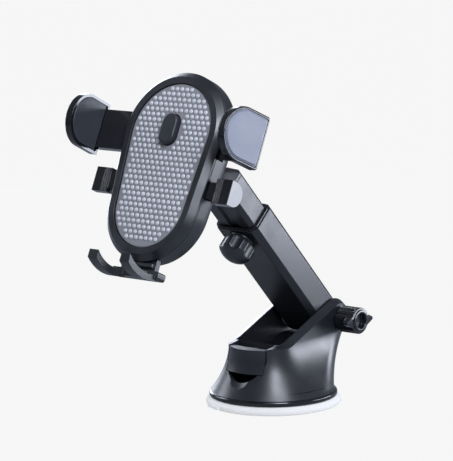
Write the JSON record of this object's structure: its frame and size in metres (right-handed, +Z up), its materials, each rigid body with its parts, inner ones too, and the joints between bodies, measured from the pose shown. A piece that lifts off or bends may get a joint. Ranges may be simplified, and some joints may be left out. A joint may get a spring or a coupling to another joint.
{
  "type": "phone mount",
  "caption": "Suction-cup phone mount with a locking lever, a tilting telescopic arm, and a sprung clamp head with folding foot on a ball joint.",
  "frame": {"origin": "centre of the flat suction face under the base, at rest on the surface", "axes": "+Z up from the suction face, -Y towards the phone and the lever, +X to the side of the pivot knob"},
  "size_m": [0.1198, 0.1819, 0.1924],
  "materials": {
    "clear_gel": "clear tacky polyurethane gel",
    "soft_black": "soft black rubber",
    "gloss_black": "polished black ABS",
    "satin_black": "satin black ABS",
    "inner_plastic": "dark moulded nylon",
    "steel": "zinc plated steel",
    "brass": "turned brass",
    "nylon": "natural nylon",
    "pad_rubber": "grey rubber moulded with round domes",
    "soft_grey": "dark grey silicone pad",
    "grey_inset": "smooth dark grey plastic"
  },
  "bodies": {
    "base": {"gel_foot": "clear_gel", "cup_disc": "soft_black", "base_ring": "gloss_black", "base_housing": "satin_black", "tray_liner": "gloss_black", "base_plate": "inner_plastic", "lever_pin": "steel", "base_screws": "steel", "pivot_nut": "steel", "pivot_washers": "nylon", "stud_spring": "steel"},
    "lever": {"lock_lever": "satin_black"},
    "cup_stud": {"cup_stud": "steel"},
    "pivot_knob": {"pivot_knob": "satin_black", "pivot_bolt": "steel"},
    "lower_arm": {"outer_tube": "satin_black", "pivot_bush": "nylon", "mouth_liner": "gloss_black", "tension_insert": "brass", "pressure_shoe": "nylon"},
    "tension_knob": {"tension_knob": "gloss_black", "tension_screw": "steel"},
    "upper_arm": {"inner_tube": "satin_black", "slide_collar": "nylon", "arm_end_cap": "satin_black", "ball_stud": "steel"},
    "inner_cup": {"inner_ball_cup": "nylon"},
    "outer_cup": {"outer_ball_cup": "soft_black"},
    "head": {"rear_shell": "satin_black", "front_shell": "satin_black", "grip_pad": "pad_rubber", "head_screws": "steel", "gear_cover": "steel", "pinion_axle": "steel", "pawl_pin": "steel", "trigger_spring": "steel", "right_button_spring": "steel", "left_button_spring": "steel", "clamp_spring": "steel"},
    "ball_nut": {"ball_nut": "satin_black"},
    "pinion": {"pinion": "nylon"},
    "latch": {"latch_pawl": "brass"},
    "right_clamp": {"right_clamp_arm": "gloss_black", "right_jaw_pad": "soft_grey", "right_jaw_cap": "grey_inset"},
    "left_clamp": {"left_clamp_arm": "gloss_black", "left_jaw_pad": "soft_grey", "left_jaw_cap": "grey_inset"},
    "trigger": {"trigger_tab": "grey_inset"},
    "right_button": {"right_button": "gloss_black"},
    "left_button": {"left_button": "gloss_black"},
    "foot": {"foot": "satin_black", "toe_pads": "soft_grey"}
  },
  "joints": [
    {"name": "lever_turn", "type": "hinge", "parent": "base", "child": "lever", "pos_m": [0, -0.02, 0.029], "axis": [-1, 0, 0], "range_deg": [0, 55]},
    {"name": "stud_lift", "type": "slide", "parent": "base", "child": "cup_stud", "axis": [0, 0, -1], "range_m": [0, 0.00111], "deforming": ["stud_spring"]},
    {"name": "pivot_knob_turn", "type": "hinge", "parent": "base", "child": "pivot_knob", "pos_m": [0, 0.0354, 0.045], "axis": [1, 0, 0], "continuous": true},
    {"name": "arm_tilt", "type": "hinge", "parent": "base", "child": "lower_arm", "pos_m": [0, 0.0354, 0.045], "axis": [-1, 0, 0], "range_deg": [-28, 60]},
    {"name": "arm_extend", "type": "slide", "parent": "lower_arm", "child": "upper_arm", "axis": [0, -0.6833, 0.7302], "range_m": [-0.025, 0.022]},
    {"name": "tension_knob_turn", "type": "hinge", "parent": "lower_arm", "child": "tension_knob", "pos_m": [0, -0.02697, 0.09483], "axis": [0, -0.7302, -0.6833], "continuous": true},
    {"name": "ball_pitch", "type": "hinge", "parent": "upper_arm", "child": "inner_cup", "pos_m": [0, -0.05917, 0.14605], "axis": [1, 0, 0], "range_deg": [-45, 11]},
    {"name": "ball_yaw", "type": "hinge", "parent": "inner_cup", "child": "outer_cup", "pos_m": [0, -0.05917, 0.14605], "axis": [0, 0.4226, 0.9063], "range_deg": [-16, 16]},
    {"name": "ball_roll", "type": "hinge", "parent": "outer_cup", "child": "head", "pos_m": [0, -0.05917, 0.14605], "axis": [0, 0.9063, -0.4226], "continuous": true},
    {"name": "ball_nut_turn", "type": "hinge", "parent": "head", "child": "ball_nut", "pos_m": [0, -0.05917, 0.14605], "axis": [0, 0.9063, -0.4226], "continuous": true},
    {"name": "right_clamp_slide", "type": "slide", "parent": "head", "child": "right_clamp", "axis": [-1, 0, 0], "range_m": [0, 0.019], "deforming": ["clamp_spring"]},
    {"name": "left_clamp_slide", "type": "slide", "parent": "head", "child": "left_clamp", "axis": [1, 0, 0], "range_m": [0, 0.019]},
    {"name": "pinion_turn", "type": "hinge", "parent": "head", "child": "pinion", "pos_m": [0, -0.07705, 0.15881], "axis": [0, -0.9063, 0.4226], "range_deg": [0, 202]},
    {"name": "latch_turn", "type": "hinge", "parent": "head", "child": "latch", "pos_m": [-0.0125, -0.07883, 0.15026], "axis": [0, 0.9063, -0.4226], "range_deg": [0, 12], "stiffness_Nm_per_rad": 0.02, "springref_deg": -5.73},
    {"name": "trigger_press", "type": "slide", "parent": "head", "child": "trigger", "axis": [0, 0.9063, -0.4226], "range_m": [0, 0.0016], "stiffness_N_per_m": 400, "springref_m": -0.001, "deforming": ["trigger_spring"]},
    {"name": "right_button_press", "type": "slide", "parent": "head", "child": "right_button", "axis": [-1, 0, 0], "range_m": [0, 0.0032], "stiffness_N_per_m": 300, "springref_m": -0.002, "deforming": ["right_button_spring"]},
    {"name": "left_button_press", "type": "slide", "parent": "head", "child": "left_button", "axis": [1, 0, 0], "range_m": [0, 0.0032], "stiffness_N_per_m": 300, "springref_m": -0.002, "deforming": ["left_button_spring"]},
    {"name": "foot_slide", "type": "slide", "parent": "head", "child": "foot", "axis": [0, -0.4226, -0.9063], "range_m": [0, 0.018]}
  ],
  "couplings": [
    {"joint": "lever_turn", "follows": "stud_lift", "rad_per_m": 867.15},
    {"joint": "left_clamp_slide", "follows": "right_clamp_slide", "ratio": 1},
    {"joint": "pinion_turn", "follows": "right_clamp_slide", "rad_per_m": 185.19}
  ]
}
